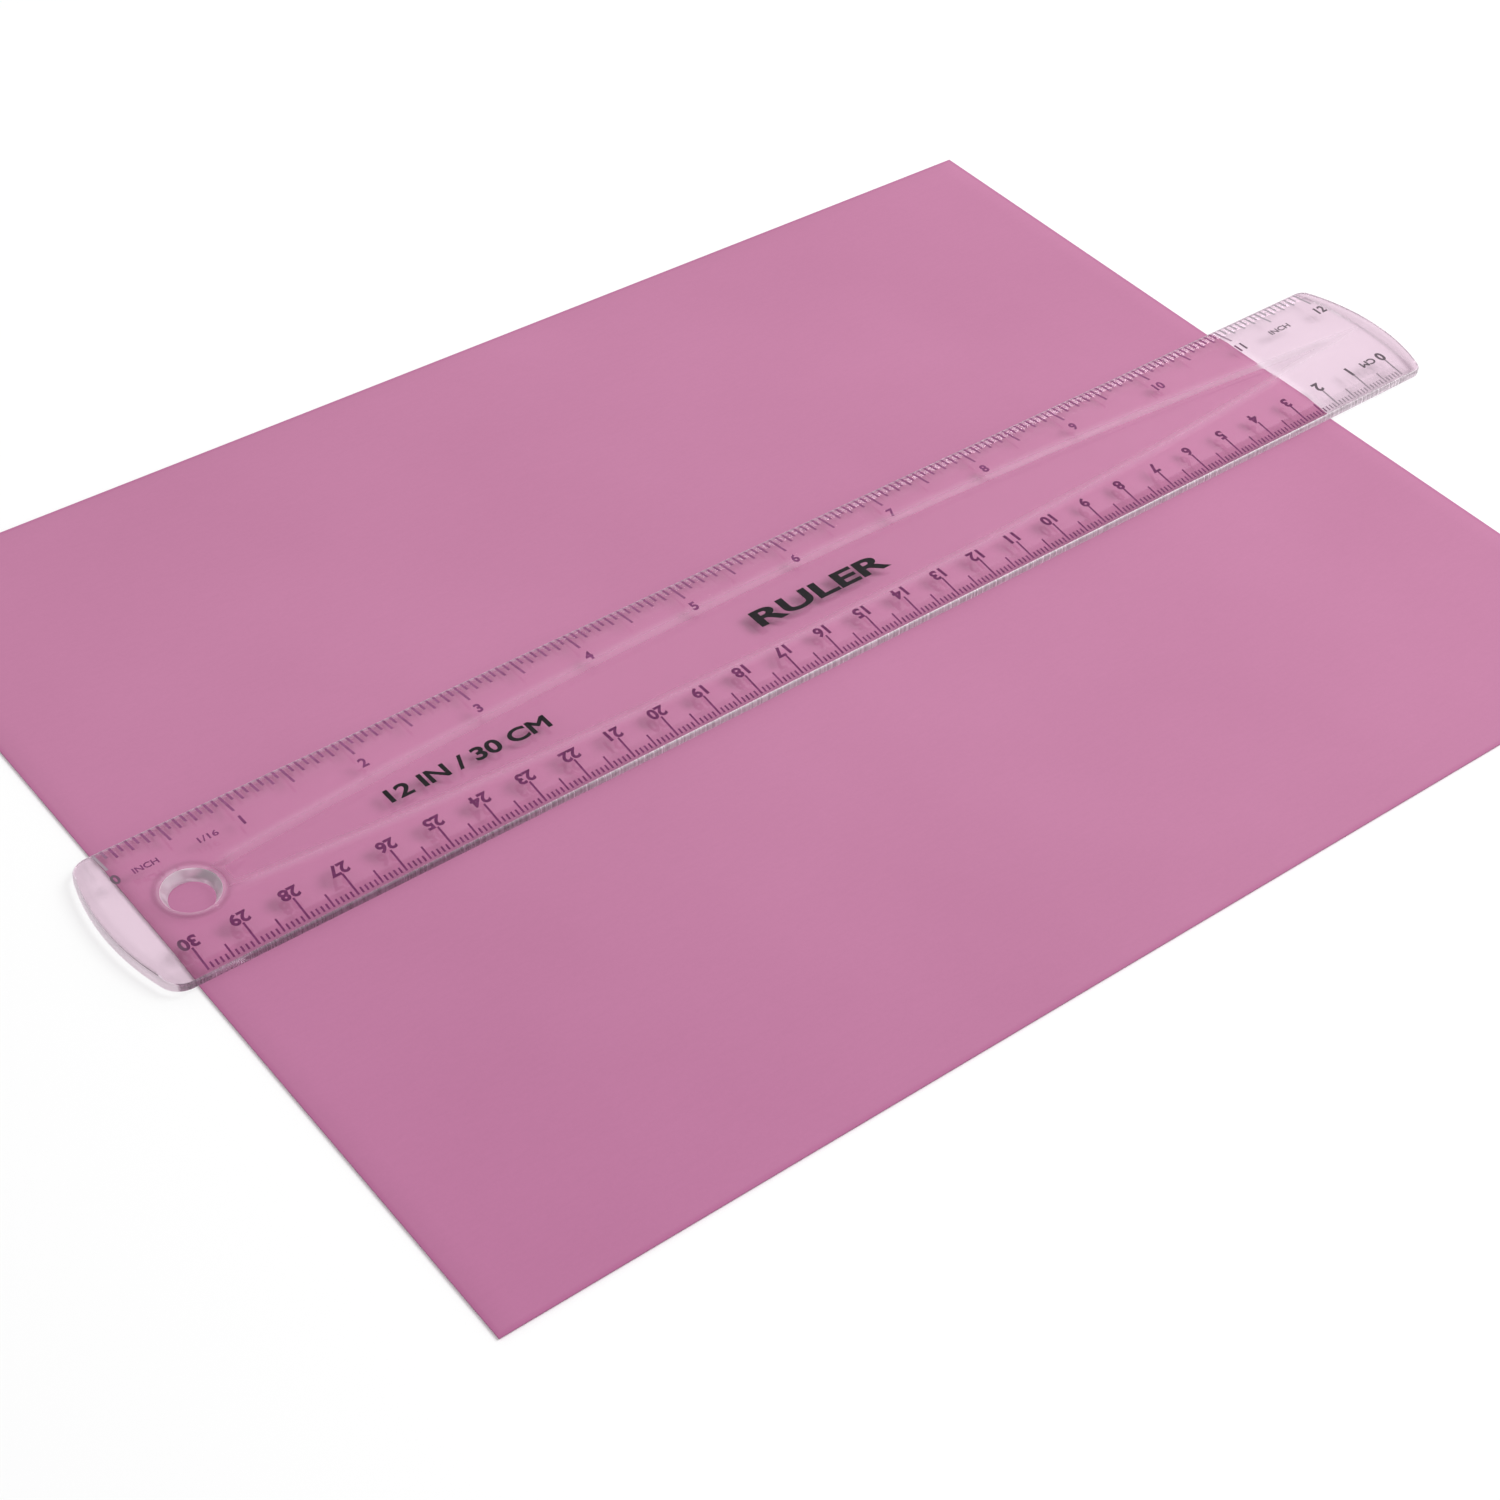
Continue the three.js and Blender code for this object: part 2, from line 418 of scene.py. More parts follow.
# Where the triangles of the top are led along its features.
CHAIN_MARGIN = RIM_RADIUS + 0.15
EDGE_ROWS = (17.6, 17.2, 16.0, 14.4, 10.6)
LENS_ROWS = (-12, -9, -7, -5.5, -4, -3, -2, -1, 0, 1, 2, 3, 4)     # eighths of the panel's wall
DISH_RINGS = (5.75, 6.0, 6.25, 6.5, 6.55, 6.7, 6.85, 7.0, 7.15, 7.3, 7.45, 8.2)
BOW_ROWS = (0.5, 0.75, 1.0, 1.3, 1.6, 2.2)
STEP_ROWS = (-0.8, 0.0, 0.15, 0.3, 0.45, 0.6, 0.75, 0.9, 1.05, 1.2, 1.5, 2.2, 3.2, 4.2)
ARC_STEP = 0.5
FIELD_STEP = 4.0             # loose points over the middle
FIELD_ROWS = (-9.4, -6.0, -3.0, 0.0, 3.0, 6.0, 9.4)
FIELD_MARGIN = 1.0
FIELD_CLEARANCE = 8.8        # from the hole's centre
HOLE_END_REACH = 6.0         # closer loose points over the two ends
PLAIN_END_REACH = 9.0
END_STEP = 0.75
END_ROW_STEP = 0.9
END_ROW_LIMIT = 18
END_MARGIN = 0.6


def ruler_chains():
    """Lines on the top that a triangle edge has to follow."""
    chains = []
    crest_v = HALF_WIDTH - BEVEL_WIDTH
    rows = [crest_v + CREST_BLEND * k / 2 for k in range(-2, 3)]
    rows += EDGE_ROWS
    for v in rows:
        for sign in (-1, 1):
            line = [(u, sign * v) for u in span(-HALF_LENGTH, HALF_LENGTH, SIDE_STEP)]
            chains += runs_inside(line, CHAIN_MARGIN)
    for k in LENS_ROWS:
        radius = LENS_RADIUS - LENS_WALL * k / 8
        reach = math.sqrt(max(radius ** 2 - LENS_ARC_V ** 2, 0))
        first_u = max(LENS_U - reach, HOLE_U + DISH_RADIUS)
        for sign in (-1, 1):
            line = []
            for u in span(first_u, LENS_U + reach, SIDE_STEP):
                v = math.sqrt(max(radius ** 2 - (u - LENS_U) ** 2, 0)) - LENS_ARC_V
                line.append((u, sign * max(v, 0.0)))
            chains += runs_inside(line, CHAIN_MARGIN)
    for radius in DISH_RINGS:
        loop = circle(HOLE_U, 0, radius)
        chains.append(loop + loop[:1])
    arcs = [(HOLE_BOW_U, -1, HOLE_BOW - inside) for inside in BOW_ROWS]
    arcs += [(STEP_U, 1, STEP_BOW + past) for past in STEP_ROWS]
    for centre_u, side, radius in arcs:
        swing = math.asin(HALF_WIDTH / radius)
        arc = [
            (centre_u + side * radius * math.cos(a), radius * math.sin(a))
            for a in span(-swing, swing, ARC_STEP / radius)
        ]
        chains += runs_inside(arc, CHAIN_MARGIN)
    return chains


def ruler_loose():
    """Points that keep the triangles well shaped between the chains."""
    loose = []
    for u in span(-HALF_LENGTH, HALF_LENGTH, FIELD_STEP):
        for v in FIELD_ROWS:
            if not inside_outline(u, v, FIELD_MARGIN):
                continue
            if math.hypot(u - HOLE_U, v) > FIELD_CLEARANCE:
                loose.append((u, v))
    end_rows = span(-HALF_LENGTH, -HALF_LENGTH + HOLE_END_REACH, END_STEP)
    end_rows += span(HALF_LENGTH - PLAIN_END_REACH, HALF_LENGTH, END_STEP)
    for u in end_rows:
        for v in span(-END_ROW_LIMIT, END_ROW_LIMIT, END_ROW_STEP):
            if inside_outline(u, v, END_MARGIN):
                loose.append((u, v))
    return loose


RIM_STEPS = 7
FOOT_STEPS = 3
WALL_ROW = 0.42              # a row of points part of the way up the wall
HOLE_WALL_MIDDLE = (4.72, 1.1)      # radius and height
BASE_ROWS = (-12, -6, 0, 6, 12)
BASE_STEP = 10
BASE_REACH = 150
BASE_CLEARANCE = 6           # from the hole's centre

# The wall of the hang hole from its rounded mouth down, as radius and height.
MOUTH_HEIGHT = RULER_THICKNESS - DISH_DEPTH
HOLE_PROFILE = [
    (HOLE_TOP_RADIUS + 0.12, MOUTH_HEIGHT - 0.035),
    (HOLE_TOP_RADIUS + 0.04, MOUTH_HEIGHT - 0.09),
    (HOLE_TOP_RADIUS - 0.03, MOUTH_HEIGHT - 0.17),
    (HOLE_TOP_RADIUS - 0.09, MOUTH_HEIGHT - 0.27),
    HOLE_WALL_MIDDLE,
    (HOLE_BOTTOM_RADIUS + 0.06, 0.12),
    (HOLE_BOTTOM_RADIUS + 0.10, 0.04),
    (HOLE_BOTTOM_RADIUS + 0.18, 0.0),
]


def build_ruler(place):
    shell = Shell()
    hole_ring = circle(HOLE_U, 0, MOUTH_RADIUS)
    border = outline(RIM_RADIUS)
    points, faces, place_of = triangulate(
        border,
        [(HOLE_U, 0, MOUTH_RADIUS, hole_ring)],
        ruler_chains(),
        ruler_loose(),
    )
    top = shell.add_points([(u, v, top_height(u, v)) for u, v in points])
    shell.faces.extend(faces)
    border_top = [top[place_of[i]] for i in range(len(border))]
    mouth_top = [top[place_of[len(border) + i]] for i in range(len(hole_ring))]

    # The outer wall, from the rounded rim down to the rounded foot.
    rows = [border_top]
    for step in range(1, RIM_STEPS + 1):
        angle = math.pi / 2 * step / RIM_STEPS
        inset = RIM_RADIUS * (1 - math.sin(angle))
        drop = RIM_RADIUS * (1 - math.cos(angle))
        loop = outline(inset)
        rows.append(shell.add_points([(u, v, top_height(u, v) - drop) for u, v in loop]))
    for height in (WALL_ROW, FOOT_RADIUS):
        rows.append(shell.add_points([(u, v, height) for u, v in outline(0)]))
    for step in range(1, FOOT_STEPS + 1):
        angle = math.pi / 2 * step / FOOT_STEPS
        inset = FOOT_RADIUS * (1 - math.cos(angle))
        height = FOOT_RADIUS * (1 - math.sin(angle))
        rows.append(shell.add_points([(u, v, height) for u, v in outline(inset)]))
    for upper, lower in zip(rows, rows[1:]):
        shell.bridge(upper, lower)

    rows = [mouth_top]
    for radius, height in HOLE_PROFILE:
        rows.append(shell.add_points([(u, v, height) for u, v in circle(HOLE_U, 0, radius)]))
    for upper, lower in zip(rows, rows[1:]):
        shell.bridge(lower, upper)
    foot_radius = HOLE_PROFILE[-1][0]

    # The flat underside.
    foot_ring = circle(HOLE_U, 0, foot_radius)
    loose = [(u, v) for u in span(-BASE_REACH, BASE_REACH, BASE_STEP) for v in BASE_ROWS]
    loose = [(u, v) for u, v in loose if math.hypot(u - HOLE_U, v) > BASE_CLEARANCE]
    points, faces, _ = triangulate(
        outline(FOOT_RADIUS), [(HOLE_U, 0, foot_radius, foot_ring)], [], loose
    )
    base = shell.add_points([(u, v, 0.0) for u, v in points])
    shell.faces.extend(tuple(base[i] for i in reversed(face)) for face in faces)
    obj = shell.make("ruler_moulding", place)

    weld(obj.data)
    mark_finish(obj.data)
    smooth_moulding(obj.data)
    return obj


MERGE_DISTANCE = 1e-7        # metres
RIM_SLACK = 0.01             # takes in the points that lie right on the rim or the mouth
SLOPE_STEP = 0.02
BASE_HEIGHT = 0.001          # points lower than this are on the underside


def weld(mesh):
    """Joins the loops that the walls share with the top and the underside."""
    work = bmesh.new()
    work.from_mesh(mesh)
    bmesh.ops.remove_doubles(work, verts=work.verts, dist=MERGE_DISTANCE)
    bmesh.ops.recalc_face_normals(work, faces=work.faces)
    work.to_mesh(mesh)
    work.free()


def on_moulded_top(u, v, height):
    """True for a point of the top that lies inside the rim and outside the hole."""
    if math.hypot(u - HOLE_U, v) < MOUTH_RADIUS - RIM_SLACK or height < LOWEST_TOP:
        return False
    return inside_outline(u, v, RIM_RADIUS - RIM_SLACK)


def smooth_moulding(mesh):
    """Shades the top from its true slope, so that long thin triangles don't show."""
    mesh.shade_smooth()
    step = SLOPE_STEP
    normals = []
    for vertex in mesh.vertices:
        u, v, height = (c / MM for c in vertex.co)
        if on_moulded_top(u, v, height):
            slope_u = (top_height(u + step, v) - top_height(u - step, v)) / (2 * step)
            slope_v = (top_height(u, v + step) - top_height(u, v - step)) / (2 * step)
            normals.append(Vector((-slope_u, -slope_v, 1.0)).normalized())
        else:
            normals.append(vertex.normal.copy())
    mesh.normals_split_custom_set_from_vertices(normals)


def bell(distance, width):
    return math.exp(-(distance / width) ** 2)


def store(mesh, name, values):
    mesh.attributes.new(name, "FLOAT", "POINT")
    mesh.attributes[name].data.foreach_set("value", values)


def wall_finish(u, v):
    """Painted-light frosting, painted shade, softness and streaking of the side walls."""
    if math.hypot(u - HOLE_U, v) < DISH_RADIUS:
        return HOLE_FROST_PAINTED_LIGHT, HOLE_SHADE, HOLE_SOFT, HOLE_STREAK
    if u < HOLE_BOW_U and math.hypot(u - HOLE_BOW_U, v) > HOLE_BOW - BOW_REACH:
        return BOW_FROST_PAINTED_LIGHT, BOW_SHADE, BOW_SOFT, 0.0
    if v > 0:
        return FAR_FROST_PAINTED_LIGHT, FAR_SHADE, 1.0, 0.0
    return WALL_FROST_PAINTED_LIGHT, smooth01((WALL_PAINTED_SHADE_FROM_U - u) / WALL_PAINTED_SHADE_BLEND), 0.0, 1.0


def top_finish(u, v):
    """Painted-light frosting, painted shade, softness and streaking of the moulded top."""
    from_hole = math.hypot(u - HOLE_U, v)
    inside = lens_inside(u, v)
    clear_of_hole = smooth01((from_hole - LENS_COLLAR - 1.0) / 3) if u > HOLE_U else 0.0
    line = FROST_HIGHLIGHT_LINE * bell(inside + FROST_OFFSET, FROST_WIDTH) * clear_of_hole
    mouth = MOUTH_FROST_HIGHLIGHT * bell(from_hole - HOLE_TOP_RADIUS - MOUTH_FROST_AT, MOUTH_FROST_WIDTH)
    depth = PANEL_SHADE + END_PANEL_SHADE * smooth01((u - PANEL_END_U) / PANEL_END_BLEND)
    panel = depth * smooth01(inside / LENS_WALL + 0.5)
    ring = RING_SHADE * bell(from_hole - DISH_RADIUS, RING_WIDTH)
    soft = bell(inside, WALL_SOFTNESS) if u > HOLE_U else 0.0
    soft = max(soft, smooth01((v - FAR_SOFT_V) / FAR_SOFT_BLEND))
    end = 0.0
    if u > STEP_U:
        past_step = math.hypot(u - STEP_U, v) - STEP_BOW
        from_tip = PLAIN_BOW - math.hypot(u - PLAIN_BOW_U, v)
        step = STEP_SHADE * bell(past_step - STEP_SHADE_AT, STEP_SHADE_WIDTH)
        end = max(step, TIP_SHADE * bell(from_tip, TIP_WIDTH))
    elif u < HOLE_BOW_U:
        from_tip = HOLE_BOW - math.hypot(u - HOLE_BOW_U, v)
        end = TIP_SHADE * smooth01((HOLE_BAND - from_tip) / HOLE_BAND_BLEND)
    return max(line, mouth), max(panel, ring, end), soft, 0.0


def mark_finish(mesh):
    """Stores the moulding's painted-light frosting, painted shade, softness and streaking at each
    point, for its material.
    """
    finishes_and_painted_light = []
    for vertex in mesh.vertices:
        u, v, height = (c / MM for c in vertex.co)
        if on_moulded_top(u, v, height):
            finishes_and_painted_light.append(top_finish(u, v))
        elif height > BASE_HEIGHT:
            finishes_and_painted_light.append(wall_finish(u, v))
        else:
            finishes_and_painted_light.append((0.0, 0.0, 0.0, 0.0))
    for name, values in zip(("frost_painted_light", "shade", "soft", "streak"), zip(*finishes_and_painted_light)):
        store(mesh, name, values)


make_camera()
SCENE.view_settings.view_transform = "Standard"

ruler_turn = math.radians(RULER_TURN_DEG)
RULER_PLACE = Matrix.Translation(Vector((
    RULER_SHIFT[0] * MM,
    RULER_SHIFT[1] * MM,
    (SHEET_THICKNESS + RULER_GAP) * MM,
))) @ Matrix.Rotation(ruler_turn, 4, "Z")

# ---- Print on the ruler ----

INK_PROUD = 0.02
INK_SUNK = 0.01
TICK_STEP = 0.7              # the marks are divided so that they follow the bevel


def printed_height(u, v):
    """Height of the ruler's top with the rounding of its long edges."""
    short = max(RIM_RADIUS - (HALF_WIDTH - abs(v)), 0.0)
    return top_height(u, v) - RIM_RADIUS + math.sqrt(RIM_RADIUS ** 2 - short ** 2)


def lay_ink(shell, points, faces):
    """Adds a thin closed patch of ink that follows the ruler's top."""
    heights = [printed_height(u, v) for u, v in points]
    upper = shell.add_points([(u, v, h + INK_PROUD) for (u, v), h in zip(points, heights)])
    lower = shell.add_points([(u, v, h - INK_SUNK) for (u, v), h in zip(points, heights)])
    uses = {}
    for face in faces:
        for i, a in enumerate(face):
            b = face[(i + 1) % len(face)]
            uses[(a, b)] = True
        shell.faces.append(tuple(upper[i] for i in face))
        shell.faces.append(tuple(lower[i] for i in reversed(face)))
    for a, b in uses:
        if (b, a) not in uses:
            shell.faces.append((upper[b], upper[a], lower[a], lower[b]))


def lay_tick(shell, u, start_v, end_v, width):
    """One straight mark across the scale."""
    steps = max(2, round(abs(end_v - start_v) / TICK_STEP))
    points = []
    for i in range(steps + 1):
        v = start_v + (end_v - start_v) * i / steps
        points += [(u - width / 2, v), (u + width / 2, v)]
    faces = []
    for i in range(steps):
        a = 2 * i
        face = (a, a + 1, a + 3, a + 2)
        faces.append(face if end_v > start_v else tuple(reversed(face)))
    lay_ink(shell, points, faces)


INCH_MARGIN = 0.12           # from the ruler's far edge to the outer ends of the inch marks
METRIC_MARGIN = 0.9

# How far from the edge the marks end, and their widths. An inch mark is looked up by how many
# sixteenths its step is, and a metric one by how many millimetres.
INCH_ZERO_U = -152.4
INCH_STEPS = (1, 2, 4, 8, 16)
INCH_MARKS = {1: 2.7, 2: 3.75, 4: 3.75, 8: 5.6, 16: 5.75}
INCH_WIDTHS = {1: 0.50, 2: 0.50, 4: 0.50, 8: 0.50, 16: 0.52}
INCHES = 12
METRIC_ZERO_U = 150.0
METRIC_STEPS = (1, 5, 10)
METRIC_MARKS = {1: 2.2, 5: 4.0, 10: 6.2}
METRIC_WIDTHS = {1: 0.38, 5: 0.38, 10: 0.42}
CENTIMETRES = 30


def build_ticks():
    inch = Shell()
    start_v = HALF_WIDTH - INCH_MARGIN
    for k in range(INCHES * 16 + 1):
        step = max(d for d in INCH_STEPS if k % d == 0)
        u = INCH_ZERO_U + INCH * k / 16
        lay_tick(inch, u, start_v, HALF_WIDTH - INCH_MARKS[step], INCH_WIDTHS[step])
    metric = Shell()
    start_v = -HALF_WIDTH + METRIC_MARGIN
    for k in range(CENTIMETRES * 10 + 1):
        step = max(d for d in METRIC_STEPS if k % d == 0)
        u = METRIC_ZERO_U - k
        lay_tick(metric, u, start_v, -HALF_WIDTH + METRIC_MARKS[step], METRIC_WIDTHS[step])
    return inch.make("inch_scale", RULER_PLACE), metric.make("metric_scale", RULER_PLACE)


def signed_area(points, faces):
    """Area of flat faces, negative where they turn clockwise."""
    area = 0
    for face in faces:
        for i, b in enumerate(face):
            a = face[i - 1]
            area += (points[a][0] * points[b][1] - points[b][0] * points[a][1]) / 2
    return area


SHARPEST = 0.45              # keeps pointed corners of the type from running out too far


def embolden(points, faces, amount):
    """Moves the outline of flat type outwards. Every point of the type is on its outline."""
    edges = {(face[i - 1], face[i]) for face in faces for i in range(len(face))}
    ahead = {}
    behind = {}
    for a, b in edges:
        if (b, a) not in edges:
            ahead[a] = b
            behind[b] = a
    moved = []
    for i, point in enumerate(points):
        here = Vector(point)
        if i in ahead and i in behind:
            arriving = (here - Vector(points[behind[i]])).normalized()
            leaving = (Vector(points[ahead[i]]) - here).normalized()
            out = Vector((arriving.y + leaving.y, -arriving.x - leaving.x))
            here = here + out * amount / max(1 + arriving.dot(leaving), SHARPEST)
        moved.append((here.x, here.y))
    return moved


def text_patch(words, bold, resolution):
    """Flat triangles of a line of type in the built-in face, as points and faces."""
    curve = bpy.data.curves.new("type", "FONT")
    curve.body = words
    curve.resolution_u = resolution
    curve.fill_mode = "FRONT"
    obj = bpy.data.objects.new("type", curve)
    SCENE.collection.objects.link(obj)
    mesh = bpy.data.meshes.new_from_object(obj)
    points = [(v.co.x, v.co.y) for v in mesh.vertices]
    faces = [tuple(p.vertices) for p in mesh.polygons]
    bpy.data.objects.remove(obj)
    bpy.data.curves.remove(curve)
    bpy.data.meshes.remove(mesh)
    if signed_area(points, faces) < 0:
        faces = [tuple(reversed(face)) for face in faces]
    return embolden(points, faces, bold), faces


def text_box(points):
    us = [p[0] for p in points]
    vs = [p[1] for p in points]
    return min(us), max(us), min(vs), max(vs)


def set_type(shell, words, u, v, height, width=None, turned=False, bold=0.0, resolution=4):
    """Sets a line of type centred on (u, v), with capitals of the given height."""
    points, faces = text_patch(words, bold, resolution)
    low_u, high_u, low_v, high_v = text_box(points)
    scale_v = height / (high_v - low_v)
    scale_u = width / (high_u - low_u) if width else scale_v
    sign = -1 if turned else 1
    middle_u = (low_u + high_u) / 2
    middle_v = (low_v + high_v) / 2
    placed = [
        (u + sign * (p - middle_u) * scale_u, v + sign * (q - middle_v) * scale_v)
        for p, q in points
    ]
    lay_ink(shell, placed, faces)


INCH_TYPE_V = 9.65           # middle of the inch numerals
INCH_LABEL_V = 9.6
METRIC_TYPE_V = -10.65
INCH_TYPE_HEIGHT = 2.4
METRIC_TYPE_HEIGHT = 2.9
FINE_TYPE = 6                # curve resolution of the two large lines


def build_print():
    inch = Shell()
    for k in range(INCHES + 1):
        set_type(inch, str(k), INCH_ZERO_U + INCH * k, INCH_TYPE_V, INCH_TYPE_HEIGHT, bold=0.035)
    metric = Shell()
    for k in range(CENTIMETRES + 1):
        u = METRIC_ZERO_U - 10 * k
        set_type(metric, str(k), u, METRIC_TYPE_V, METRIC_TYPE_HEIGHT, turned=True, bold=0.04)
    labels = Shell()
    set_type(labels, "INCH", -146.5, INCH_LABEL_V, 1.4, width=5.0, bold=0.02)
    set_type(labels, "1/16", -134.0, INCH_LABEL_V, 1.5, width=4.0, bold=0.02)
    set_type(labels, "INCH", 139.2, INCH_LABEL_V, 1.5, width=6.0, bold=0.02)
    set_type(labels, "CM", 146.0, METRIC_TYPE_V, 1.9, width=4.2, turned=True, bold=0.03)
    length = Shell()
    set_type(
        length, "12 IN / 30 CM", -85.2, -0.2, 3.6, width=35.5, bold=0.03, resolution=FINE_TYPE
    )
    title = Shell()
    set_type(title, "RULER", -1.7, -0.4, 4.8, width=33.0, bold=0.03, resolution=FINE_TYPE)
    return [
        inch.make("inch_numerals", RULER_PLACE),
        metric.make("metric_numerals", RULER_PLACE),
        labels.make("unit_labels", RULER_PLACE),
        length.make("length_print", RULER_PLACE),
        title.make("title_print", RULER_PLACE),
    ]


# ---- The card ----

CARD_ROUNDING = 0.06         # along the guillotined edge
CARD_STEPS = (56, 43)
CARD_SMOOTH_DEG = 40


def build_card():
    shell = Shell()
    half_x = SHEET_LENGTH / 2
    half_y = SHEET_WIDTH / 2
    burr = CARD_ROUNDING
    steps_x, steps_y = CARD_STEPS

    def ring(inset, height):
        points = []
        x = half_x - inset
        y = half_y - inset
        points += [(-x + 2 * x * i / steps_x, -y, height) for i in range(steps_x)]
        points += [(x, -y + 2 * y * i / steps_y, height) for i in range(steps_y)]
        points += [(x - 2 * x * i / steps_x, y, height) for i in range(steps_x)]
        points += [(-x, y - 2 * y * i / steps_y, height) for i in range(steps_y)]
        return shell.add_points(points)

    rows = [
        ring(burr, SHEET_THICKNESS),
        ring(burr * 0.3, SHEET_THICKNESS - burr * 0.3),
        ring(0.0, SHEET_THICKNESS - burr),
        ring(0.0, burr),
        ring(burr * 0.3, burr * 0.3),
        ring(burr, 0.0),
    ]
    for upper, lower in zip(rows, rows[1:]):
        shell.bridge(upper, lower)

    def cap(loop, flip):
        """A grid over the face inside one loop."""
        height = shell.points[loop[0]][2]
        x = half_x - burr
        y = half_y - burr
        grid = {}
        for i in range(steps_x + 1):
            for j in range(steps_y + 1):
                if j == 0 and i < steps_x:
                    grid[i, j] = loop[i]
                elif i == steps_x and j < steps_y:
                    grid[i, j] = loop[steps_x + j]
                elif j == steps_y and i > 0:
                    grid[i, j] = loop[steps_x + steps_y + (steps_x - i)]
                elif i == 0 and j > 0:
                    grid[i, j] = loop[2 * steps_x + steps_y + (steps_y - j)]
                else:
                    point = (-x + 2 * x * i / steps_x, -y + 2 * y * j / steps_y, height)
                    grid[i, j] = shell.add_points([point])[0]
        for i in range(steps_x):
            for j in range(steps_y):
                face = (grid[i, j], grid[i + 1, j], grid[i + 1, j + 1], grid[i, j + 1])
                shell.faces.append(tuple(reversed(face)) if flip else face)

    cap(rows[0], False)
    cap(rows[-1], True)
    return shell.make("card", Matrix.Identity(4), smooth_deg=CARD_SMOOTH_DEG)


# ---- Materials ----

def new_material(name):
    material = bpy.data.materials.new(name)
    material.use_nodes = True
    nodes = material.node_tree.nodes
    shader = nodes["Principled BSDF"]
    return material, nodes, material.node_tree.links, shader


def attribute(nodes, name):
    node = nodes.new("ShaderNodeAttribute")
    node.attribute_name = name
    return node.outputs["Fac"]


def colour_mix(nodes, links, share, first, second, blend="MIX"):
    """A colour mix. first and second are plain colours or sockets."""
    node = nodes.new("ShaderNodeMix")
    node.data_type = "RGBA"
    node.blend_type = blend
    for socket, value in ((node.inputs[0], share), (node.inputs[6], first), (node.inputs[7], second)):
        if isinstance(value, bpy.types.NodeSocket):
            links.new(value, socket)
        elif isinstance(value, tuple):
            socket.default_value = (*value, 1)
        else:
            socket.default_value = value
    return node.outputs[2]


def math_node(nodes, links, operation, *values):
    node = nodes.new("ShaderNodeMath")
    node.operation = operation
    for socket, value in zip(node.inputs, values):
        if isinstance(value, bpy.types.NodeSocket):
            links.new(value, socket)
        else:
            socket.default_value = value
    return node.outputs[0]


def map_range(nodes, links, value, from_low, from_high, to_low=0.0, to_high=1.0, kind="LINEAR"):
    node = nodes.new("ShaderNodeMapRange")
    node.interpolation_type = kind
    links.new(value, node.inputs["Value"])
    node.inputs["From Min"].default_value = from_low
    node.inputs["From Max"].default_value = from_high
    node.inputs["To Min"].default_value = to_low
    node.inputs["To Max"].default_value = to_high
    return node.outputs["Result"]


def noise(nodes, links, where, scale, detail=2.0, roughness=0.5):
    node = nodes.new("ShaderNodeTexNoise")
    node.inputs["Scale"].default_value = scale
    node.inputs["Detail"].default_value = detail
    node.inputs["Roughness"].default_value = roughness
    links.new(where, node.inputs["Vector"])
    return node.outputs["Fac"]


def stretched(nodes, links, where, scale):
    node = nodes.new("ShaderNodeMapping")
    node.inputs["Scale"].default_value = scale
    links.new(where, node.inputs["Vector"])
    return node.outputs["Vector"]


CARD_DEEP = (0.462, 0.166, 0.302)
CARD_PALE = (0.492, 0.182, 0.326)
# Painted shade that darkens the card towards its near corner.
NEAR_CORNER_PAINTED_SHADE = (0.93, 0.86, 0.93)
EDGE_DARKENING = (0.93, 0.80, 0.90)
EDGE_DARKENING_WIDTH = 0.0012      # metres


def card_material():
    material, nodes, links, shader = new_material("mauve_card")
    where = nodes.new("ShaderNodeTexCoord").outputs["Object"]
    cloud = map_range(nodes, links, noise(nodes, links, where, 14.0, 3.0), 0.3, 0.7)
    tone = colour_mix(nodes, links, cloud, CARD_DEEP, CARD_PALE)

    # Fibres lie mostly along the sheet, with a finer felt of them across it.
    long_fibre = noise(nodes, links, stretched(nodes, links, where, (320, 1500, 900)), 1.0, 5.0, 0.65)
    felt = noise(nodes, links, where, 1700.0, 4.0, 0.6)
    fibre = math_node(nodes, links, "ADD", long_fibre, felt)
    speck = map_range(nodes, links, fibre, 0.7, 1.3, 0.965, 1.0)
    tone = colour_mix(nodes, links, 1.0, tone, speck, "MULTIPLY")

    # The colour is a little darker towards the near corner, as painted shade, and along the
    # guillotined edges.
    split = nodes.new("ShaderNodeSeparateXYZ")
    links.new(where, split.inputs[0])
    across = math_node(nodes, links, "ADD", split.outputs["X"], split.outputs["Y"])
    corner = map_range(nodes, links, across, -0.25, -0.05, 1.0, 0.0, "SMOOTHSTEP")
    deeper = colour_mix(nodes, links, 1.0, tone, NEAR_CORNER_PAINTED_SHADE, "MULTIPLY")
    tone = colour_mix(nodes, links, corner, tone, deeper)
    gaps = []
    for axis, size in (("X", SHEET_LENGTH), ("Y", SHEET_WIDTH)):
        out = math_node(nodes, links, "ABSOLUTE", split.outputs[axis])
        gaps.append(math_node(nodes, links, "SUBTRACT", size / 2 * MM, out))
    gap = math_node(nodes, links, "MINIMUM", *gaps)
    edge = map_range(nodes, links, gap, 0.0, EDGE_DARKENING_WIDTH, 1.0, 0.0, "SMOOTHSTEP")
    deeper = colour_mix(nodes, links, 1.0, tone, EDGE_DARKENING, "MULTIPLY")
    tone = colour_mix(nodes, links, edge, tone, deeper)
    links.new(tone, shader.inputs["Base Color"])
    shader.inputs["Roughness"].default_value = 0.8
    bump = nodes.new("ShaderNodeBump")
    bump.inputs["Strength"].default_value = 0.3
    bump.inputs["Distance"].default_value = 0.00004
    links.new(fibre, bump.inputs["Height"])
    links.new(bump.outputs["Normal"], shader.inputs["Normal"])
    return material


MIDDLE_TINT = (1.0, 0.83, 0.935)
# Painted shadow and painted pink light, for the plastic past the card.
END_PAINTED_LIGHT_TINT = (0.82, 0.635, 0.745)
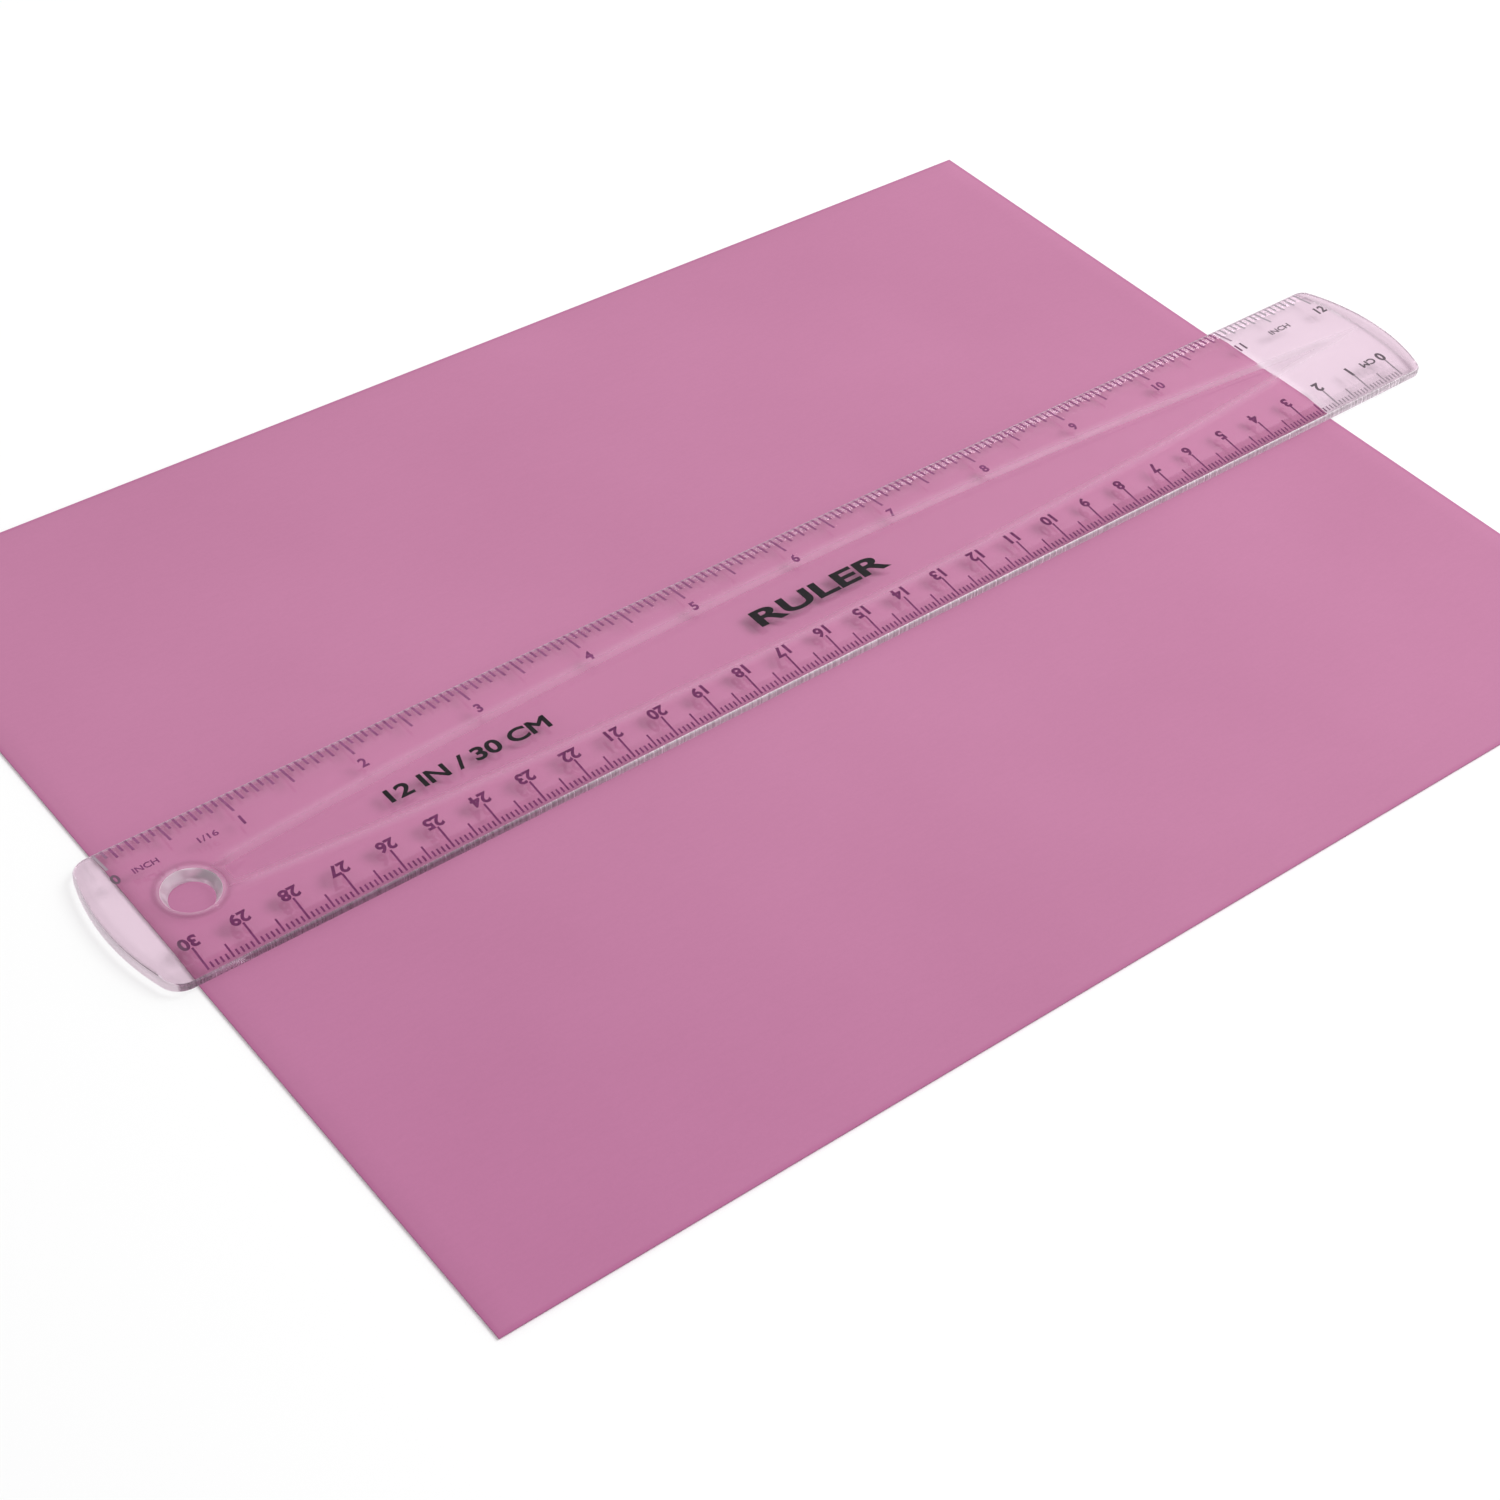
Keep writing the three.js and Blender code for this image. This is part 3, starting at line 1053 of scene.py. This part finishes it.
# Colours of painted shade, of the frosting that stands in for highlights, and of that frosting
# darkened by painted shade.
PAINTED_SHADE_TINT = (0.36, 0.25, 0.32)
FROST_PAINTED_LIGHT_TINT = (0.95, 0.84, 0.91)
PAINTED_SHADE_FROST_TINT = (0.42, 0.24, 0.36)
RIM_PASS = (0.72, 0.70, 0.71)       # light that gets through a steep rim, and through the rest
CLEAR_PASS = (0.99, 0.985, 0.99)
PLASTIC_IOR = 1.49


def plastic_material():
    material, nodes, links, shader = new_material("clear_moulded_plastic")
    where = nodes.new("ShaderNodeTexCoord").outputs["Object"]
    shader.inputs["IOR"].default_value = PLASTIC_IOR

    # Past the card's short edges the tint turns darker and pinker: a painted shadow of the ruler's
    # ends and painted pink light from the card.
    ends = past_card(nodes, links, where)
    tint = colour_mix(nodes, links, ends, MIDDLE_TINT, END_PAINTED_LIGHT_TINT)
    # Painted shade darkens the tint along the panel, round the dish, at the step, along the rims of
    # the ends and on the walls.
    shade = attribute(nodes, "shade")
    tint = colour_mix(nodes, links, shade, tint, PAINTED_SHADE_TINT)

    # Frosting is broken up by fine upright dark streaks on the walls, a painted reflection of the
    # ticks seen in them.
    streaks = noise(nodes, links, stretched(nodes, links, where, (1500, 60, 60)), 1.0, 3.0, 0.7)
    painted_refraction_streaks = map_range(nodes, links, streaks, 0.40, 0.60, 0.38, 0.0)
    lost = math_node(nodes, links, "MULTIPLY", attribute(nodes, "streak"), painted_refraction_streaks)
    patches = math_node(nodes, links, "SUBTRACT", 1.0, lost)
    frost_painted_light = math_node(nodes, links, "MULTIPLY", attribute(nodes, "frost_painted_light"), patches)
    # The frosting's pale colour is painted light, standing in for highlights along the panel, round
    # the hole's mouth and in the walls, and painted shade darkens it.
    frost_painted_light_colour = colour_mix(nodes, links, shade, FROST_PAINTED_LIGHT_TINT, PAINTED_SHADE_FROST_TINT)
    links.new(colour_mix(nodes, links, frost_painted_light, tint, frost_painted_light_colour), shader.inputs["Base Color"])
    links.new(
        math_node(nodes, links, "SUBTRACT", 1.0, frost_painted_light),
        shader.inputs["Transmission Weight"],
    )
    haze = map_range(nodes, links, noise(nodes, links, where, 60.0, 4.0), 0.3, 0.7, 0.02, 0.06)
    rough = math_node(nodes, links, "MULTIPLY_ADD", frost_painted_light, 0.4, haze)
    rough = math_node(nodes, links, "MULTIPLY_ADD", attribute(nodes, "soft"), 0.3, rough)
    links.new(rough, shader.inputs["Roughness"])

    # Slow ripples of the moulding and fine scratches along its length.
    ripple = noise(nodes, links, where, 35.0, 1.0)
    scratch = noise(nodes, links, stretched(nodes, links, where, (40, 2600, 40)), 1.0, 4.0, 0.6)
    height = math_node(nodes, links, "MULTIPLY_ADD", scratch, 0.02, ripple)
    bump = nodes.new("ShaderNodeBump")
    bump.inputs["Strength"].default_value = 0.12
    bump.inputs["Distance"].default_value = 0.0002
    links.new(height, bump.inputs["Height"])
    links.new(bump.outputs["Normal"], shader.inputs["Normal"])

    # Lamps and bounced light reach the card through the plastic. Its steep rims let less past.
    upright = nodes.new("ShaderNodeSeparateXYZ")
    links.new(nodes.new("ShaderNodeNewGeometry").outputs["Normal"], upright.inputs[0])
    level = math_node(nodes, links, "ABSOLUTE", upright.outputs["Z"])
    flat = map_range(nodes, links, level, 0.55, 0.985, 0.0, 1.0, "SMOOTHSTEP")
    passed = colour_mix(nodes, links, flat, RIM_PASS, CLEAR_PASS)
    clear = nodes.new("ShaderNodeBsdfTransparent")
    links.new(passed, clear.inputs["Color"])
    path = nodes.new("ShaderNodeLightPath")
    lit = math_node(
        nodes, links, "MAXIMUM", path.outputs["Is Shadow Ray"], path.outputs["Is Diffuse Ray"]
    )
    mix = nodes.new("ShaderNodeMixShader")
    links.new(lit, mix.inputs[0])
    links.new(shader.outputs[0], mix.inputs[1])
    links.new(clear.outputs[0], mix.inputs[2])
    links.new(mix.outputs[0], nodes["Material Output"].inputs["Surface"])
    return material


# Along the ruler, in metres: where it passes each short edge of the card.
HOLE_END_CROSSING = (-0.1535, -0.1495)
PLAIN_END_CROSSING = (0.1245, 0.1290)


def past_card(nodes, links, where):
    """1 where the ruler lies beyond the card's short edges, 0 over the card."""
    split = nodes.new("ShaderNodeSeparateXYZ")
    links.new(where, split.inputs[0])
    along = split.outputs["X"]
    hole_end = map_range(nodes, links, along, *HOLE_END_CROSSING, 1.0, 0.0, "SMOOTHSTEP")
    plain_end = map_range(nodes, links, along, *PLAIN_END_CROSSING, 0.0, 1.0, "SMOOTHSTEP")
    return math_node(nodes, links, "ADD", hole_end, plain_end)


def ink_material(name, dark, light, painted_over_floor):
    """Thin ink. It takes on the card's colour where the ruler lies on the card, and another colour
    over the white floor: painted light from beneath showing through the ink.
    """
    material, nodes, links, shader = new_material(name)
    where = nodes.new("ShaderNodeTexCoord").outputs["Object"]
    wear = map_range(nodes, links, noise(nodes, links, where, 900.0, 3.0), 0.3, 0.7)
    tone = colour_mix(nodes, links, wear, dark, light)
    tone = colour_mix(nodes, links, past_card(nodes, links, where), tone, painted_over_floor)
    links.new(tone, shader.inputs["Base Color"])
    shader.inputs["Roughness"].default_value = 0.5
    shader.inputs["Specular IOR Level"].default_value = 0.2
    return material


def floor_material():
    material, nodes, links, shader = new_material("white_floor")
    shader.inputs["Base Color"].default_value = (0.9, 0.9, 0.9, 1)
    shader.inputs["Roughness"].default_value = 0.9
    return material


def put_material(obj, material):
    obj.data.materials.clear()
    obj.data.materials.append(material)


ruler = build_ruler(RULER_PLACE)
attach(ruler, "ruler")
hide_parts("ruler")
put_material(ruler, plastic_material())

# Each ink's darkest and lightest colour over the card, and its colour over the white floor. The
# change between them is painted light from beneath.
INK_COLOURS = {
    "scale_ink": ((0.115, 0.016, 0.080), (0.180, 0.032, 0.125), (0.27, 0.21, 0.25)),
    "far_ink": ((0.200, 0.050, 0.145), (0.280, 0.080, 0.205), (0.34, 0.29, 0.33)),
    "numeral_ink": ((0.100, 0.013, 0.070), (0.160, 0.028, 0.110), (0.11, 0.08, 0.10)),
    "small_ink": ((0.150, 0.030, 0.110), (0.220, 0.050, 0.160), (0.12, 0.09, 0.11)),
    "title_ink": ((0.003, 0.002, 0.003), (0.010, 0.006, 0.010), (0.01, 0.01, 0.01)),
}
INK_OF = {
    "metric_scale": "scale_ink",
    "inch_scale": "far_ink",
    "metric_numerals": "numeral_ink",
    "inch_numerals": "small_ink",
    "unit_labels": "small_ink",
    "length_print": "title_ink",
    "title_print": "title_ink",
}
INKS = {name: ink_material(name, *colours) for name, colours in INK_COLOURS.items()}
for piece in [*build_ticks(), *build_print()]:
    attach(piece, "ruler")
    put_material(piece, INKS[INK_OF[piece.name]])

card = build_card()
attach(card, "sheet")
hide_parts("card_sheet")
put_material(card, card_material())

# ---- Studio ----

BACKDROP_STRENGTH = 0.74
LAMP_SIZE = 0.9
LAMP_WATTS = 19.5
LAMP_PLACE = Vector((1.15, -0.22, 1.36))
FLOOR_REACH = 3
FLOOR_Z = -0.0001            # just under the card

world = bpy.data.worlds.new("studio")
SCENE.world = world
world.use_nodes = True
backdrop = world.node_tree.nodes["Background"]
backdrop.inputs["Color"].default_value = (1, 1, 1, 1)
backdrop.inputs["Strength"].default_value = BACKDROP_STRENGTH

lamp_data = bpy.data.lights.new("softbox", "AREA")
lamp_data.shape = "SQUARE"
lamp_data.size = LAMP_SIZE
lamp_data.energy = LAMP_WATTS
lamp = bpy.data.objects.new("softbox", lamp_data)
lamp.location = LAMP_PLACE
lamp.rotation_mode = "QUATERNION"
lamp.rotation_quaternion = (-LAMP_PLACE).to_track_quat("-Z", "Y")
SCENE.collection.objects.link(lamp)

floor_mesh = bpy.data.meshes.new("floor")
floor_corners = [
    (x * FLOOR_REACH, y * FLOOR_REACH, FLOOR_Z)
    for x, y in ((-1, -1), (1, -1), (1, 1), (-1, 1))
]
floor_mesh.from_pydata(floor_corners, [], [(0, 1, 2, 3)])
floor = bpy.data.objects.new("floor", floor_mesh)
SCENE.collection.objects.link(floor)
put_material(floor, floor_material())
